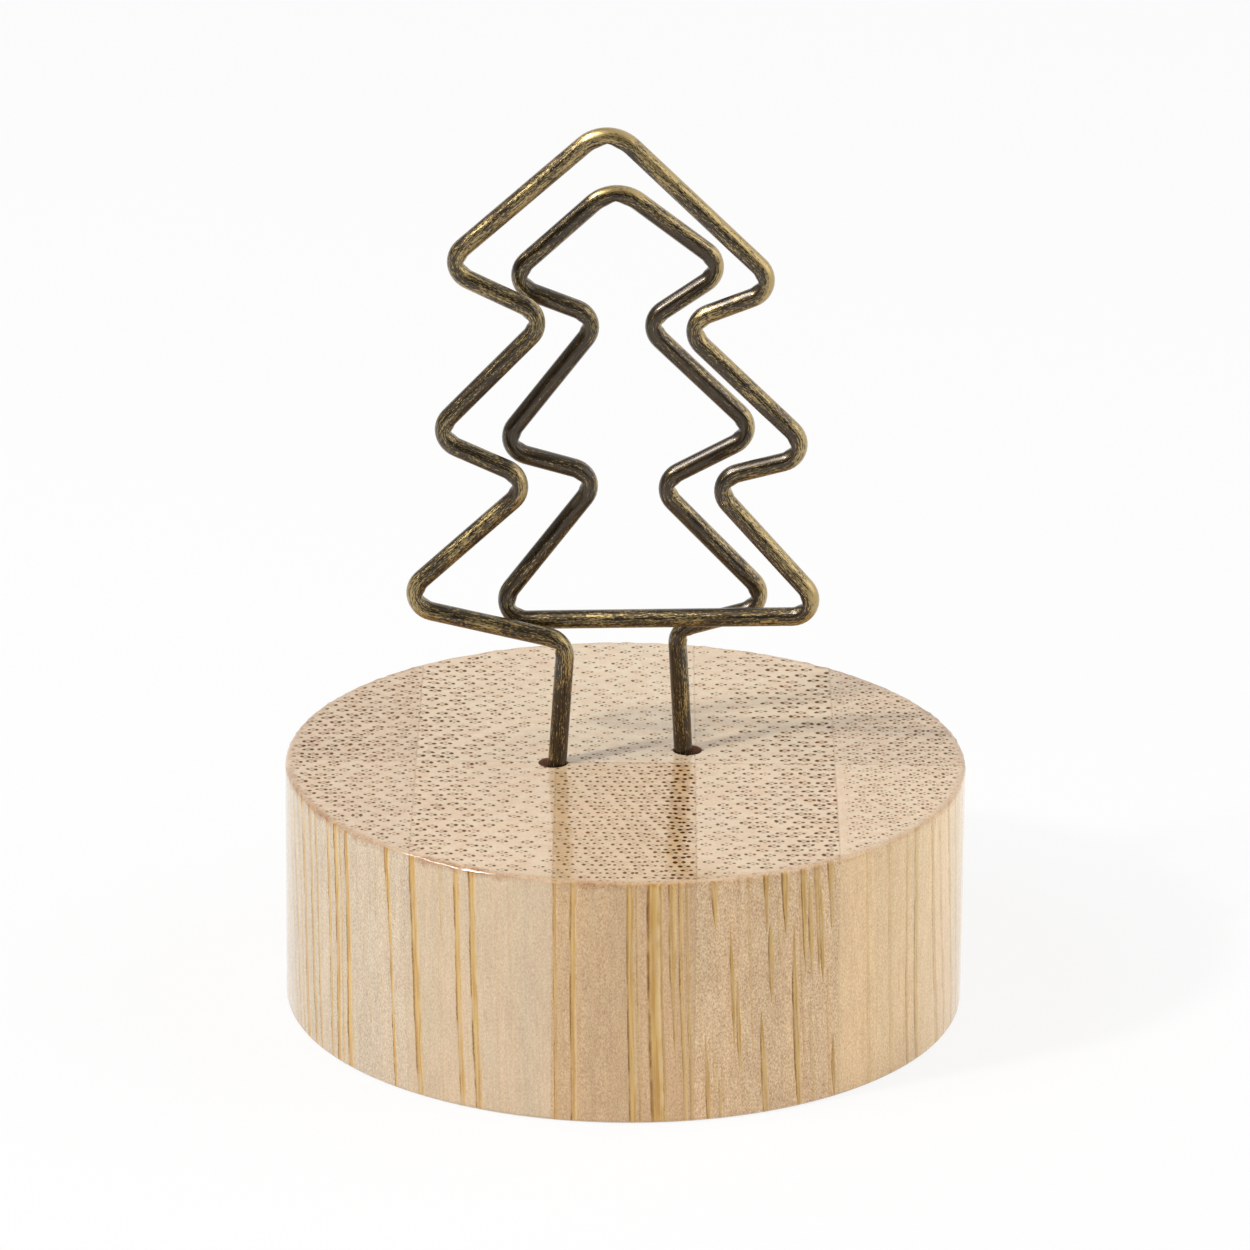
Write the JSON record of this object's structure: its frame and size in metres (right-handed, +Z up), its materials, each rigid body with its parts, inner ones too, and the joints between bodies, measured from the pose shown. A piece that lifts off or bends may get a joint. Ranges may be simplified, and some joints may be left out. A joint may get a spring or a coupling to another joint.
{
  "type": "tree memo holder",
  "caption": "Memo and photo holder: a round laminated bamboo base carries one antique brass wire bent into a large and a small tree outline that grip a card between them.",
  "frame": {"origin": "centre of the base's underside, on the surface that the holder stands on", "axes": "+Z up the tree, +X to the right across the bamboo strips, -Y towards the front, where the larger tree stands"},
  "size_m": [0.04, 0.04, 0.0537],
  "materials": {
    "bamboo": "satin lacquer over end grain",
    "antique_brass_wire": "dark antique patina rubbed bright along its high side"
  },
  "bodies": {
    "base": {"base_strip_front_1": "bamboo", "base_strip_front_2": "bamboo", "base_strip_front_3": "bamboo", "base_strip_front_4": "bamboo", "base_strip_front_5": "bamboo", "base_strip_back_1": "bamboo", "base_strip_back_2": "bamboo", "base_strip_back_3": "bamboo", "base_strip_back_4": "bamboo", "base_strip_back_5": "bamboo"},
    "clip_legs": {"left_leg": "antique_brass_wire", "right_leg": "antique_brass_wire"},
    "front_loop": {"front_tree": "antique_brass_wire"},
    "rear_loop": {"rear_tree": "antique_brass_wire"}
  },
  "joints": [
    {"name": "clip_pull", "type": "slide", "parent": "base", "child": "clip_legs", "axis": [0, 0, 1], "range_m": [0, 0.0084]},
    {"name": "front_loop_flex", "type": "hinge", "parent": "clip_legs", "child": "front_loop", "pos_m": [0.0018, -0.0007, 0.0238], "axis": [1, 0, 0], "range_deg": [0, 5], "stiffness_Nm_per_rad": 0.3},
    {"name": "rear_loop_flex", "type": "hinge", "parent": "clip_legs", "child": "rear_loop", "pos_m": [0.0018, -0.0007, 0.0238], "axis": [-1, 0, 0], "range_deg": [0, 5], "stiffness_Nm_per_rad": 0.3}
  ]
}
